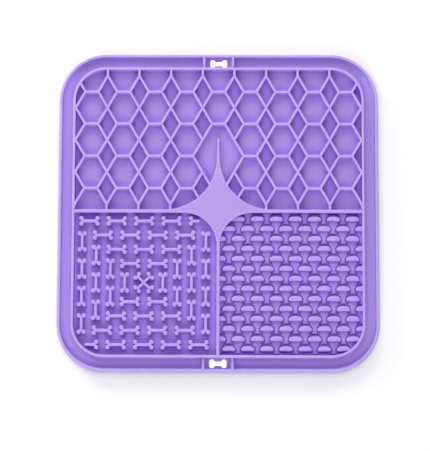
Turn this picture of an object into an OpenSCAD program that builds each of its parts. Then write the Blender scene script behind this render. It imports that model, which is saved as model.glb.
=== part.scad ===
// Square silicone lick mat, lying face up on its suction cups.
// The origin is on the floor under the middle of the mat. +X is to the right and +Y is away
// from the reader, as the mat is seen from above with its honeycomb half at the top.

/* [Mat] */
// Overall side of the square mat, across the foot of its outer rim
mat_size = 200; // [190:1:210]
// Outer corner radius at the foot of the rim
corner_r = 30; // [27:1:34]
// Thickness of the moulded sheet
sheet_t = 2; // [1.5:0.1:2.5]

/* [Rims and gutter] */
// Width of the outer rim at its top
outer_rim_w = 1.7; // [1.4:0.1:2]
// Height of the outer rim above the sheet
outer_rim_h = 3.2; // [2.6:0.1:4]
// How far the outer wall leans in between its foot and its top
rim_draft = 0.7; // [0.3:0.1:1]
// Width of the spill gutter between the two rims
gutter_w = 6.8; // [6.2:0.1:7.6]
// Width of the inner rim
inner_rim_w = 1.65; // [1.4:0.05:1.9]
// Height of the inner rim, the dividers, the star and the honeycomb above the sheet
wall_h = 5; // [4.5:0.1:6]
// Distance from the middle of the mat to the centre line of a gutter dam
dam_x = 9; // [8.2:0.1:10]
// Thickness of a gutter dam
dam_t = 1.7; // [1.4:0.1:2]

/* [Hanging holes] */
// Overall length of a bone-shaped hanging hole
hole_l = 10.7; // [9.5:0.1:11.5]
// Overall width of a hanging hole across its round ends
hole_w = 5.3; // [4.8:0.1:5.6]
// Radius of each round end of a hanging hole
hole_knob_r = 1.64; // [1.5:0.02:1.8]
// Width of the straight waist of a hanging hole
hole_waist_w = 2.6; // [2.2:0.1:2.9]

/* [Dividers and star] */
// Width of the dividers
divider_w = 1.9; // [1.6:0.1:2.2]
// Radius of the two hollow sides of the star that face the honeycomb
star_upper_r = 32.5; // [30.5:0.5:34]
// Radius of the two hollow sides of the star below the divider
star_lower_r = 20.5; // [19.5:0.1:22]
// Clear space between the tip of the spike and the level rib of the honeycomb above it
spike_gap = 8.6; // [7.5:0.1:11]
// Radius of the spike's rounded tip
spike_tip_r = 0.5; // [0.4:0.05:0.7]

/* [Honeycomb] */
// Number of hexagons side by side across the mat
hex_columns = 9; // [9]
// Number of whole rows of hexagons
hex_rows = 3; // [3]
// Width of a honeycomb rib
rib_w = 1.45; // [1.2:0.05:1.7]

/* [Bone ridges] */
// Overall length of a bone ridge
bone_l = 12.8; // [11.8:0.1:13.6]
// Overall width of a bone ridge across its knobs
bone_w = 5.95; // [5.4:0.05:6.3]
// Radius of a knob at the end of a bone ridge
knob_r = 1.38; // [1.3:0.02:1.46]
// Width of the shaft of a bone ridge
shaft_w = 1.75; // [1.4:0.05:2]
// Height of the bone ridges above the sheet
bone_h = 4.6; // [4:0.1:5]
// How far the middle of the bone pattern lies from the middle of its field, towards the left rim
bones_shift = 0.8; // [0.4:0.1:1.1]
// How far the middle of the bone pattern lies from the middle of its field, towards the divider
bones_rise = 0.5; // [0.1:0.1:0.8]
// How far the short bone beside the star runs past its own middle
star_bone_reach = 0.5; // [0:0.1:1]
// How far the short bone beside the rounded corner runs past its own middle
corner_bone_reach = 2; // [1:0.1:2.4]
// Distance from the middle of the crossed bones to their knobs, along the shaft
cross_reach = 5.8; // [5.4:0.1:6.2]
// Distance between the two knobs at an end of a crossed bone
cross_spread = 3.3; // [3:0.1:3.5]
// Radius of a knob of the crossed bones
cross_knob_r = 1.3; // [1.2:0.02:1.4]
// Width of the shafts of the crossed bones
cross_shaft_w = 1.5; // [1.3:0.1:1.7]

/* [Nubs] */
// Length of a nub, from left to right
nub_l = 8.4; // [7.9:0.1:8.9]
// Width of the full oval of which a nub is the larger part
nub_w = 4.6; // [4.2:0.1:4.9]
// Width of the strip that is missing from the oval, where the nub has its steep straight side
nub_cut = 1.4; // [1.1:0.1:1.7]
// Height of the nubs above the sheet
nub_h = 3.9; // [3.5:0.1:4.4]
// Height of the low necks that run from the nubs towards the lower rim
neck_h = 1.1; // [0.8:0.1:1.4]
// Width of a neck where it leaves its nub
neck_w = 5.4; // [4.8:0.2:5.6]
// Width of the groove between a neck and the nubs on both sides of it
neck_groove = 0.55; // [0.4:0.05:0.7]
// Clear space between the end of a neck and the next nub in its column
neck_end_gap = 1.4; // [1:0.1:1.8]
// Distance from the divider to the middle of the first row of nubs
nub_first_gap = 4.2; // [3.8:0.1:4.8]
// Clear space between the last row of nubs and the inner rim
nub_last_gap = 2.4; // [2:0.1:2.8]
// Distance from the middle of the mat to the first column of nubs, which the divider cuts
nub_first_x = 0.7; // [0.2:0.1:1]

/* [Suction cups] */
// Number of suction cups along each side of their square pattern
cups_per_side = 6; // [4:1:6]
// Height of the suction cups, which holds the sheet off the floor
cup_h = 3; // [2.5:0.1:3.5]
// Radius of the lip of a suction cup
cup_lip_r = 6.5; // [5.5:0.1:7]
// Radius of the neck that joins a cup to the sheet
cup_neck_r = 2.6; // [2.2:0.1:3]
// Width of the flat ring on which the lip rests
cup_lip_w = 0.6; // [0.4:0.1:0.9]
// Height of the hollow under a suction cup
cup_hollow_h = 1.3; // [1:0.1:1.6]

/* [Hidden] */
$fn = 96;
// Heights of the underside of the sheet and of its top, above the floor
sheet_z = cup_h;
floor_z = cup_h + sheet_t;
// How far a cutting shape runs past what it cuts
overrun = 1 * sheet_t;
// Half sizes of the square outlines, from the outside in
foot_half = mat_size / 2;
rim_half = foot_half - rim_draft;
gutter_half = rim_half - outer_rim_w;
plate_half = gutter_half - gutter_w;
field_half = plate_half - inner_rim_w;
// All rounded corners share one centre
corner_mid = foot_half - corner_r;
divider_half = divider_w / 2;
// Side of each of the two lower fields
field_span = field_half - divider_half;
// Honeycomb: columns fill the width. Part of a cell is left over above and below the whole rows.
hex_top_share = 0.684;
hex_bottom_share = 0.66;
hex_pitch_x = 2 * field_half / hex_columns;
hex_pitch_y = field_span / (hex_rows + hex_top_share + hex_bottom_share);
hex_first_y = divider_half + hex_bottom_share * hex_pitch_y;
// Three ribs meet at equal angles at a corner. Half that angle is also how far ribs lean.
ribs_at_corner = 3;
corner_angle = 180 / ribs_at_corner;
arm_y = hex_pitch_y / 2;
arm_x = arm_y / tan(corner_angle);
// Row of the level rib that is left out, which makes the large cell round the spike
open_row = 1;
// Half angles between two leaning ribs at a point, and between a leaning and an upright rib
point_angle = 90 - corner_angle;
upright_angle = 45 + corner_angle / 2;
square_angle = 90;
// Bone rings: each ring lies one step outside the last, and its bones keep one pitch
bone_rings = 4;
ring_start_share = 0.333;
ring_margin_share = 0.65;
ring_step = field_span / 2 / (bone_rings + ring_start_share + ring_margin_share);
bone_pitch_share = 1.92;
bone_pitch = bone_pitch_share * ring_step;
field_mid = divider_half + field_span / 2;
bones_x = -field_mid - bones_shift;
bones_y = -field_mid + bones_rise;
// Nubs: staggered rows, half a pitch apart
nub_rows = 14;
nub_columns = 7.5;
nub_pitch_x = (field_half - nub_first_x) / nub_columns;
nub_first_y = -divider_half - nub_first_gap;
nub_last_y = -field_half + nub_last_gap + nub_w / 2 - nub_cut;
nub_pitch_y = (nub_first_y - nub_last_y) / (nub_rows - 1);
cup_pitch = 2 * field_half / cups_per_side;
// Shades of the one silicone, as the light leaves them
rim_colour = [0.78, 0.69, 0.97];
top_colour = [0.72, 0.63, 0.92];
floor_colour = [0.62, 0.52, 0.86];
cup_colour = [0.56, 0.46, 0.82];

// Square with round corners about the shared corner centres
module rounded_square(half) {
    square([2 * half, 2 * corner_mid], center = true);
    square([2 * corner_mid, 2 * half], center = true);
    for (x = [-corner_mid, corner_mid], y = [-corner_mid, corner_mid])
        translate([x, y]) circle(r = half - corner_mid);
}

// A wall all round the mat. Its section is drawn with x measured from the corner centre.
module wall_round() {
    for (turn = [0 : 90 : 270]) rotate([0, 0, turn]) {
        translate([corner_mid, corner_mid, 0]) rotate([90, 0, 0])
            linear_extrude(2 * corner_mid) children();
        translate([corner_mid, corner_mid, 0]) rotate_extrude(angle = 90) children();
    }
}

// Section of a wall with a round top, from one x to another
module round_top_section(x_in, x_out, h) {
    top_r = (x_out - x_in) / 2;
    translate([x_in, 0]) square([2 * top_r, h - top_r]);
    translate([x_in + top_r, h - top_r]) circle(r = top_r);
}

// Straight wall with a round top, along +X from the origin
module straight_wall(l, w, h) {
    rotate([90, 0, 90]) linear_extrude(l) round_top_section(-w / 2, w / 2, h);
}

// Bone outline for a hanging hole, centred on the origin
module hole_outline() {
    knob_x = hole_l / 2 - hole_knob_r;
    knob_y = hole_w / 2 - hole_knob_r;
    for (x = [-knob_x, knob_x], y = [-knob_y, knob_y]) translate([x, y]) circle(r = hole_knob_r);
    square([2 * knob_x, hole_waist_w], center = true);
}

// Plan of the hanger on side s, between two dams
module hanger_outline(s) {
    half = dam_x - dam_t / 2;
    translate([-half, s > 0 ? plate_half : -gutter_half]) square([2 * half, gutter_w]);
}

module field_sheet() {
    color(floor_colour)
        translate([0, 0, sheet_z]) linear_extrude(sheet_t) rounded_square(plate_half);
}

module gutter_floor() {
    color(floor_colour) translate([0, 0, sheet_z]) linear_extrude(sheet_t) difference() {
        rounded_square(gutter_half);
        rounded_square(plate_half);
        hanger_outline(1);
        hanger_outline(-1);
    }
}

module hanger(s) {
    color(floor_colour) translate([0, 0, sheet_z]) linear_extrude(sheet_t) difference() {
        hanger_outline(s);
        translate([0, s * (plate_half + gutter_w / 2)]) hole_outline();
    }
}

module outer_rim() {
    inner_x = gutter_half - corner_mid;
    outer_x = rim_half - corner_mid;
    full_h = sheet_t + outer_rim_h;
    top_r = outer_rim_w / 2;
    color(rim_colour) translate([0, 0, sheet_z]) wall_round() {
        round_top_section(inner_x, outer_x, full_h);
        polygon([[inner_x, 0], [corner_r, 0], [outer_x, full_h - top_r], [inner_x, full_h - top_r]]);
    }
}

module inner_rim() {
    color(rim_colour) translate([0, 0, floor_z]) wall_round()
        round_top_section(field_half - corner_mid, plate_half - corner_mid, wall_h);
}

module gutter_dams() {
    color(rim_colour) translate([0, 0, floor_z]) for (turn = [90, -90], x = [-dam_x, dam_x])
        rotate([0, 0, turn]) translate([plate_half, x, 0]) straight_wall(gutter_w, dam_t, outer_rim_h);
}

// How far the star reaches along the divider to each side
star_arm = max(star_upper_r, star_lower_r) + divider_half;

module star_outline() {
    for (side = [0, 1]) mirror([side, 0]) {
        star_quarter(star_upper_r);
        mirror([0, 1]) star_quarter(star_lower_r);
    }
    square([2 * star_arm, divider_w], center = true);
}

// Quarter of the star: a square with a round bite whose edges run into the dividers
module star_quarter(r) {
    side = r + divider_half;
    difference() {
        square(side);
        translate([side, side]) circle(r = r);
    }
}

module centre_star() {
    color(top_colour) translate([0, 0, floor_z]) linear_extrude(wall_h) star_outline();
}

// The spike narrows to a round tip, which its sides touch at a tangent
module star_spike() {
    base_y = star_upper_r + divider_half;
    tip_y = hex_row_y(open_row + 1) - rib_w / 2 - spike_gap - spike_tip_r;
    run = tip_y - base_y;
    lean = atan(divider_half / run) - asin(spike_tip_r / norm([divider_half, run]));
    edge = [spike_tip_r * cos(lean), tip_y + spike_tip_r * sin(lean)];
    color(top_colour) translate([0, 0, floor_z]) linear_extrude(wall_h) {
        polygon([[-divider_half, base_y], [divider_half, base_y], edge, [-edge[0], edge[1]]]);
        translate([0, tip_y]) circle(r = spike_tip_r);
    }
}

// Divider from the inner rim to the star, turned to its side of the mat
module divider(turn, star_end) {
    color(rim_colour) rotate([0, 0, turn]) translate([star_end, 0, floor_z])
        straight_wall(field_half - star_end, divider_w, wall_h);
}

// Plan of one honeycomb rib between two corners of the net. mitre_a and mitre_b give the half
// angle to the next rib, on the right and on the left, at each end.
module rib(a, b, mitre_a, mitre_b) {
    along = (b - a) / norm(b - a);
    half = rib_w / 2;
    left = [-along[1], along[0]] * half;
    polygon([
        a,
        a + along * half / tan(mitre_a[0]) - left,
        b - along * half / tan(mitre_b[0]) - left,
        b,
        b - along * half / tan(mitre_b[1]) + left,
        a + along * half / tan(mitre_a[1]) + left
    ]);
}

function hex_row_y(row) = hex_first_y + row * hex_pitch_y;
function hex_x(column) = column * hex_pitch_x;

// The free floor of the honeycomb half: inside the inner rim, above the divider, off the star
module honeycomb_outline() {
    difference() {
        intersection() {
            rounded_square(field_half);
            translate([-field_half, divider_half]) square([2 * field_half, field_span]);
        }
        star_outline();
    }
}

// Whole rib through the crossing in a column and row, leaning to the right
module rising_bar(column, row) {
    middle = [hex_x(column), hex_row_y(row + 0.5)];
    arm = [arm_x, arm_y];
    rib(middle - arm, middle + arm, [corner_angle, corner_angle], [corner_angle, corner_angle]);
}

// Half of that rib, on the upper side (1) or the lower side (-1) of the rib that crosses it
module rising_half(column, row, side) {
    middle = [hex_x(column), hex_row_y(row + 0.5)];
    arm = [arm_x, arm_y] * side;
    difference() {
        rib(middle, middle + arm, [square_angle, square_angle], [corner_angle, corner_angle]);
        mirror([1, 0]) rising_bar(-column, row);
    }
}

edge_column = hex_columns / 2;

// All ribs that lean to the right. Two of them stop at the large cell round the spike.
module rising_plan() {
    for (column = [-edge_column : edge_column], row = [0 : hex_rows - 1]) {
        if (column == 0.5 && row == open_row) rising_half(column, row, 1);
        else if (column == -0.5 && row == open_row - 1) rising_half(column, row, -1);
        else rising_bar(column, row);
    }
    for (column = [-edge_column : edge_column]) {
        top = [hex_x(column), hex_row_y(hex_rows) + arm_y];
        bottom = [hex_x(column), hex_row_y(0) - arm_y];
        rib(top - [arm_x, arm_y], top, [corner_angle, corner_angle], [point_angle, upright_angle]);
        rib(bottom, bottom + [arm_x, arm_y], [upright_angle, point_angle],
            [corner_angle, corner_angle]);
    }
}

module honeycomb_rising_ribs() {
    color(rim_colour) translate([0, 0, floor_z]) linear_extrude(wall_h) intersection() {
        rising_plan();
        honeycomb_outline();
    }
}

// Ribs that lean to the left are the mirror image, cut where the others pass
module honeycomb_falling_ribs() {
    color(rim_colour) translate([0, 0, floor_z]) linear_extrude(wall_h) difference() {
        intersection() {
            mirror([1, 0]) rising_plan();
            honeycomb_outline();
        }
        rising_plan();
    }
}

// Level ribs above and below the hexagons. The one across the spike is left out.
module honeycomb_level_ribs() {
    last = (hex_columns - 1) / 2;
    half = hex_pitch_x / 2 - arm_x;
    color(rim_colour) translate([0, 0, floor_z]) linear_extrude(wall_h) intersection() {
        for (column = [-last : last], row = [0 : hex_rows]) if (column != 0 || row != open_row) {
            middle = [hex_x(column), hex_row_y(row)];
            rib(middle - [half, 0], middle + [half, 0], [corner_angle, corner_angle],
                [corner_angle, corner_angle]);
        }
        honeycomb_outline();
    }
}

// Short upright ribs that join the net to the inner rim above and the divider below
module honeycomb_upright_ribs() {
    color(rim_colour) translate([0, 0, floor_z]) linear_extrude(wall_h) intersection() {
        for (column = [-edge_column + 1 : edge_column - 1]) {
            top = [hex_x(column), hex_row_y(hex_rows) + arm_y];
            bottom = [hex_x(column), hex_row_y(0) - arm_y];
            rib(top, [top[0], field_half + overrun], [upright_angle, upright_angle],
                [square_angle, square_angle]);
            rib(bottom, [bottom[0], 0], [upright_angle, upright_angle], [square_angle, square_angle]);
        }
        honeycomb_outline();
    }
}

// Round post with a domed top
module knob(r, h) {
    cylinder(r = r, h = h - r);
    translate([0, 0, h - r]) sphere(r = r);
}

// Bone ridge along X with a knob pair at its left end, and at its right end too if both is true.
// Otherwise its shaft stops short at the given reach past the middle.
module bone(both, reach) {
    knob_x = bone_l / 2 - knob_r;
    knob_y = bone_w / 2 - knob_r;
    for (x = both ? [-knob_x, knob_x] : [-knob_x], y = [-knob_y, knob_y])
        translate([x, y, 0]) knob(knob_r, bone_h);
    translate([-knob_x, 0, 0]) straight_wall(knob_x + (both ? knob_x : reach), shaft_w, bone_h);
}

// One ring: ring + 1 bones along the top and the bottom, and as many as its number up each side
module bone_ring(ring) {
    half = (ring + ring_start_share) * ring_step;
    last_ring = ring == bone_rings;
    color(top_colour) translate([bones_x, bones_y, floor_z]) {
        for (side = [-1, 1], i = [0 : ring]) translate([(i - ring / 2) * bone_pitch, side * half, 0]) {
            if (last_ring && side == 1 && i == ring) bone(false, star_bone_reach);
            else if (last_ring && side == -1 && i == 0) rotate([0, 0, 180]) bone(false, corner_bone_reach);
            else bone(true, 0);
        }
        for (side = [-1, 1], i = [1 : ring])
            translate([side * half, (i - (ring + 1) / 2) * bone_pitch, 0]) rotate([0, 0, 90]) bone(true, 0);
    }
}

module crossed_bones() {
    color(top_colour) translate([bones_x, bones_y, floor_z]) for (turn = [45, 135]) rotate([0, 0, turn]) {
        for (x = [-cross_reach, cross_reach], y = [-cross_spread / 2, cross_spread / 2])
            translate([x, y, 0]) knob(cross_knob_r, bone_h);
        translate([-cross_reach, 0, 0]) straight_wall(2 * cross_reach, cross_shaft_w, bone_h);
    }
}

// Full oval of a nub, with upright sides and a round top
module oval() {
    end_x = (nub_l - nub_w) / 2;
    for (x = [-end_x, end_x]) translate([x, 0, 0]) knob(nub_w / 2, nub_h);
    translate([-end_x, 0, 0]) straight_wall(2 * end_x, nub_w, nub_h);
}

// The free floor of the nub field: inside the inner rim, right of the divider, off the star
module nub_outline() {
    difference() {
        intersection() {
            rounded_square(field_half);
            translate([divider_half, -field_half]) square([field_span, field_span]);
        }
        star_outline();
    }
}

// Plan of a neck. It leaves the straight side of its nub and narrows between two nubs of the next row.
module neck_plan() {
    flat_y = nub_cut - nub_w / 2;
    end_y = nub_w / 2 + neck_end_gap - 2 * nub_pitch_y;
    beside_x = nub_pitch_x / 2 - (nub_l - nub_w) / 2;
    difference() {
        translate([-neck_w / 2, end_y]) square([neck_w, flat_y - end_y]);
        for (x = [-beside_x, beside_x]) translate([x, -nub_pitch_y]) circle(r = nub_w / 2 + neck_groove);
    }
}

// Odd rows start under the divider, and even rows end under the inner rim. The steep straight sides of
// the nubs in a row lie in one plane.
module nub_row(row) {
    shift = row % 2 == 0 ? 0.5 : 0;
    y = nub_first_y - (row - 1) * nub_pitch_y;
    first = row == 1 ? 1 : 0;
    color(top_colour) translate([0, 0, floor_z]) intersection() {
        for (i = [first : nub_columns]) translate([nub_first_x + (i + shift) * nub_pitch_x, y, 0]) oval();
        linear_extrude(wall_h) intersection() {
            nub_outline();
            translate([0, y - nub_w / 2 + nub_cut]) square([plate_half, nub_w]);
        }
    }
}

// Necks of all rows but the last. The necks of row 0 come out from under the divider.
module nub_necks() {
    color(floor_colour) translate([0, 0, floor_z]) linear_extrude(neck_h) intersection() {
        for (row = [0 : nub_rows - 1], i = [0 : nub_columns]) {
            shift = row % 2 == 0 ? 0.5 : 0;
            y = nub_first_y - (row - 1) * nub_pitch_y;
            translate([nub_first_x + (i + shift) * nub_pitch_x, y]) neck_plan();
        }
        nub_outline();
    }
}

// Cup moulded on the underside: a neck, a flared skirt with a flat lip, and a hollow
module suction_cup() {
    skirt_h = cup_hollow_h + cup_lip_w;
    rotate_extrude() polygon([
        [0, cup_hollow_h], [cup_lip_r - cup_lip_w, 0], [cup_lip_r, 0], [cup_lip_r, cup_lip_w / 2],
        [cup_neck_r, skirt_h], [cup_neck_r, cup_h], [0, cup_h]
    ]);
}

module suction_cups() {
    last = (cups_per_side - 1) / 2;
    color(cup_colour) for (i = [-last : last], j = [-last : last])
        translate([i * cup_pitch, j * cup_pitch, 0]) suction_cup();
}

field_sheet();
gutter_floor();
hanger(1);  // hanger_top
hanger(-1);  // hanger_bottom
outer_rim();
inner_rim();
gutter_dams();
divider(180, star_arm);  // divider_left
divider(0, star_arm);  // divider_right
divider(-90, star_lower_r + divider_half);  // divider_lower
centre_star();
star_spike();
honeycomb_rising_ribs();
honeycomb_falling_ribs();
honeycomb_level_ribs();
honeycomb_upright_ribs();
for (ring = [1 : bone_rings]) bone_ring(ring);
crossed_bones();
for (row = [1 : nub_rows]) nub_row(row);
nub_necks();
suction_cups();
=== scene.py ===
# %% [markdown]
# # A silicone lick mat
#
# This is a square mat of soft lavender silicone, 200 mm across, on which a dog or cat licks up wet
# food. One half is a net of honeycomb cells, one quarter carries bone-shaped ridges, and one quarter
# carries rows of small nubs. A four-pointed star with thin dividers keeps the fields apart, and two rims
# with a gutter between them catch what spills.
#
# The CAD model gives every size. Here each form is drawn again with the soft edges and the small
# fillets that a moulded part has, because those edges are what catches the light.

# %% The frame and the units
import math

import bmesh
import bpy
from mathutils import Matrix, Vector


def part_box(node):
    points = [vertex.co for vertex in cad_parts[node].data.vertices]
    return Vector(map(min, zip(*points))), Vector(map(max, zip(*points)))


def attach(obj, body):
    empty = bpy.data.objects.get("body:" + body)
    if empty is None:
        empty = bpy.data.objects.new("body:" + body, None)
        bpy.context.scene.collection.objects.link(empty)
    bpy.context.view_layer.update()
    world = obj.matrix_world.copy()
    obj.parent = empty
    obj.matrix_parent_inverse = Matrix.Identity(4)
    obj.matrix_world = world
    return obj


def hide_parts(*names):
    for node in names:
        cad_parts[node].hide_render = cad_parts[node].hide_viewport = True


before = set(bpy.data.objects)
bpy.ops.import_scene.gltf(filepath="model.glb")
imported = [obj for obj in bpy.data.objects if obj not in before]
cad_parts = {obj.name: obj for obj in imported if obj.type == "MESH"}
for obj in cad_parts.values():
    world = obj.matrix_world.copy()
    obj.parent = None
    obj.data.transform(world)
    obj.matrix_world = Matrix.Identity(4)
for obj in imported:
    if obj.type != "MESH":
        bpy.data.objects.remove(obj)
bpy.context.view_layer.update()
MM = 0.001

# %% [markdown]
# ## Selecting by place
#
# Most operators of Blender act on what is selected. Working by hand you click; in a script you name the
# place. These helpers open an object with nothing selected, and then select faces by their middle and
# the way they look, or edges and corners by where they are.

# %% Opening a mesh and picking in it


def close():
    """Goes back to object mode."""
    if bpy.context.mode != "OBJECT":
        bpy.ops.object.mode_set(mode="OBJECT")


def select(parts):
    """Selects these objects and no others. The first is the active one."""
    close()
    bpy.ops.object.select_all(action="DESELECT")
    for part in parts:
        part.select_set(True)
    bpy.context.view_layer.objects.active = parts[0]


def edit(obj, kind="VERT"):
    """Opens one object in edit mode with nothing in it selected."""
    select([obj])
    bpy.ops.object.mode_set(mode="EDIT")
    bpy.ops.mesh.select_mode(type=kind)
    bpy.ops.mesh.select_all(action="DESELECT")


def pick(obj, kind, test):
    """Opens the object and selects the faces, edges or vertices whose middle, in mm, passes the test."""
    edit(obj, kind)
    mesh = bmesh.from_edit_mesh(obj.data)
    if kind == "FACE":
        for face in mesh.faces:
            face.select_set(test(face.calc_center_median() / MM, face.normal))
    elif kind == "EDGE":
        for line in mesh.edges:
            line.select_set(test(line.verts[0].co / MM, line.verts[1].co / MM))
    else:
        for corner in mesh.verts:
            corner.select_set(test(corner.co / MM))
    bmesh.update_edit_mesh(obj.data)


# %% [markdown]
# ## Drawing an outline
#
# Every form on the mat is a plan outline that rises in small steps. By hand you start such an outline
# as one vertex, extrude it along the straight parts and spin it about a centre along the round parts.
# This pen does the same, in millimetres, and fills the outline at the end. Two ends that are closer than
# TOUCH become one.

# %% The pen

TOUCH = 0.01


class Pen:
    """Draws an outline at one height with extrude and spin, from a single vertex."""

    def __init__(self, name, x, y, z):
        close()
        bpy.ops.object.select_all(action="DESELECT")
        bpy.ops.mesh.primitive_plane_add(size=MM)
        self.obj = bpy.context.active_object
        self.obj.name = self.obj.data.name = name
        self.at = Vector((x, y, z)) * MM
        bpy.ops.object.mode_set(mode="EDIT")
        bpy.ops.mesh.select_mode(type="VERT")
        bpy.ops.mesh.select_all(action="SELECT")
        bpy.ops.mesh.merge(type="CENTER")
        bpy.ops.transform.translate(value=self.at)

    def line(self, x, y):
        """Draws straight to a place."""
        to = Vector((x * MM, y * MM, self.at.z))
        bpy.ops.mesh.extrude_region_move(TRANSFORM_OT_translate={"value": to - self.at})
        self.at = to

    def arc(self, x, y, turn, steps):
        """Draws round a centre. A positive turn, in degrees, is anticlockwise from above."""
        centre = Vector((x * MM, y * MM, self.at.z))
        angle = math.radians(turn)
        bpy.ops.mesh.spin(steps=steps, angle=-angle, center=centre, axis=(0, 0, 1))
        self.at = centre + Matrix.Rotation(angle, 3, "Z") @ (self.at - centre)

    def fill(self, mirrored=""):
        """Mirrors the line across the named axes, closes it and fills it with one face that looks up."""
        close()
        for axis in mirrored:
            mirror = self.obj.modifiers.new("Mirror", "MIRROR")
            mirror.use_axis = [axis == name for name in "XYZ"]
            mirror.merge_threshold = TOUCH * MM
            bpy.ops.object.modifier_apply(modifier=mirror.name)
        edit(self.obj)
        bpy.ops.mesh.select_all(action="SELECT")
        bpy.ops.mesh.remove_doubles(threshold=TOUCH * MM)
        bpy.ops.mesh.edge_face_add()
        face = bmesh.from_edit_mesh(self.obj.data).faces[:][0]
        if face.normal.z < 0:
            bpy.ops.mesh.flip_normals()
        return self.obj


# %% [markdown]
# ## Rising in steps
#
# With the outline's face selected, each inset makes it a little smaller and its depth lifts it a
# little. Steps along a quarter circle give a fillet at the foot or a rounded shoulder at the top. A
# mould maker draws the same two curves on every rib, so that silicone fills it and lets go of it. A very
# narrow flat step, HOLD, beside a round edge keeps the smooth shading of the edge off the level face.

# %% Curves for the steps

EDGE_STEPS = 4
FOOT_STEPS = 4
BEVEL_STEPS = 3
HOLD = 0.04


def fillet(radius, count, height=None):
    """Hollow curve from the level up into a wall: pairs of inward and upward steps, in mm."""
    height = radius if height is None else height
    turns = [math.pi / 2 * i / count for i in range(count + 1)]
    return [
        (radius * (math.sin(b) - math.sin(a)), height * (math.cos(a) - math.cos(b)))
        for a, b in zip(turns, turns[1:])
    ]


def shoulder(radius, count, height=None, start=0, end=90):
    """Round curve from a wall (0 degrees) over its top (90) and down the far side (180)."""
    height = radius if height is None else height
    turns = [math.radians(start + (end - start) * i / count) for i in range(count + 1)]
    return [
        (radius * (math.cos(a) - math.cos(b)), height * (math.sin(b) - math.sin(a)))
        for a, b in zip(turns, turns[1:])
    ]


def down_fillet(radius, count):
    """The foot of a wall that is walked down: the fillet's steps backwards and downwards."""
    return [(inward, -up) for inward, up in reversed(fillet(radius, count))]


def level_top(width, edge):
    """Over the top of a wall: up a small round edge, along the level top and down the other edge."""
    over = shoulder(edge, EDGE_STEPS)
    back = shoulder(edge, EDGE_STEPS, start=90, end=180)
    return over + [(HOLD, 0), (width - 2 * edge - 2 * HOLD, 0), (HOLD, 0)] + back


def rise(steps, single=False):
    """Takes the selected face, or each selected face by itself, in and up by every step."""
    for inward, up in steps:
        bpy.ops.mesh.inset(thickness=inward * MM, depth=up * MM, use_individual=single)


def body(depth):
    """Gives the drawn face a body: its copy rises by the depth and stays selected."""
    bpy.ops.mesh.extrude_region_move(TRANSFORM_OT_translate={"value": (0, 0, depth * MM)})


def join(parts):
    """Joins several objects to the first."""
    select(parts)
    if len(parts) > 1:
        bpy.ops.object.join()
    return parts[0]


def copies(master, places):
    """Copies the master to every (x, y, turn), each copy with its own mesh, and joins the copies."""
    close()
    made = []
    for x, y, turn in places:
        twin = master.copy()
        twin.data = master.data.copy()
        bpy.context.collection.objects.link(twin)
        twin.location = (x * MM, y * MM, 0)
        twin.rotation_euler.z = math.radians(turn)
        made.append(twin)
    bpy.data.objects.remove(master)
    select(made)
    bpy.ops.object.transform_apply(location=True, rotation=True, scale=False)
    return join(made)


def trim(obj, cutter, operation):
    """Keeps what is inside the cutter (INTERSECT) or outside it (DIFFERENCE), and removes the cutter."""
    close()
    bpy.context.view_layer.objects.active = obj
    cut = obj.modifiers.new("Trim", "BOOLEAN")
    cut.operation = operation
    cut.solver = "EXACT"
    cut.object = cutter
    bpy.ops.object.modifier_apply(modifier=cut.name)
    bpy.data.objects.remove(cutter)


# %% [markdown]
# ## Sizes of the mat
#
# Silicone parts like this are planned with two levels: the sheet on which the food lies, and the tops
# of the walls. The frame says where they are, so each size is read from the CAD node that has it. A wall
# leans in by a little DRAFT, so that the mould lets go of it, and its foot is SUNK into the sheet, so
# that no gap shows.

# %% Levels and half sizes, in mm


def low(node, axis):
    """Where a CAD node begins along an axis, in mm."""
    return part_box(node)[0][axis] / MM


def high(node, axis):
    """Where a CAD node ends along an axis, in mm."""
    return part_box(node)[1][axis] / MM


X, Y, Z = 0, 1, 2
UNDERSIDE = low("field_sheet", Z)
LEVEL = high("field_sheet", Z)
WALL_TOP = high("centre_star", Z)
RIM_TOP = high("outer_rim", Z)
FOOT_HALF = high("outer_rim", X)
GUTTER_HALF = high("gutter_floor", X)
PLATE_HALF = high("field_sheet", X)
FIELD_HALF = high("divider_right", X)
RIM_MID = (PLATE_HALF + FIELD_HALF) / 2
DIVIDER_HALF = high("divider_right", Y)
CORNER_MID = 70.0
SUNK = 1.0
DRAFT = 0.05
print("sheet", UNDERSIDE, LEVEL, "walls", WALL_TOP, "outer rim", RIM_TOP)
print("half sizes", FOOT_HALF, GUTTER_HALF, PLATE_HALF, FIELD_HALF, DIVIDER_HALF)

# %% [markdown]
# ## The silicone
#
# Moulded silicone is neither glossy nor matt: the mould's satin face leaves a fine grain on it that
# spreads each highlight, and a little light sinks in and comes out again. Shade and light are also
# painted into the colour: Ambient Occlusion looking outwards paints deep corners and creases a darker
# violet as painted shade, and looking inwards paints thin walls lighter as a painted glow. The pigment
# is stirred in by hand, so the tone drifts a little over the mat. Grain and drift are a node group that
# could serve any other moulded part as well.

# %% Grain and tone as a node group

GRAIN_PER_M = 2600.0
DRIFT_PER_M = 22.0
GLOSS_PER_M = 160.0
GRAIN_DETAIL = 3.0
DRIFT_DETAIL = 2.0


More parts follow.
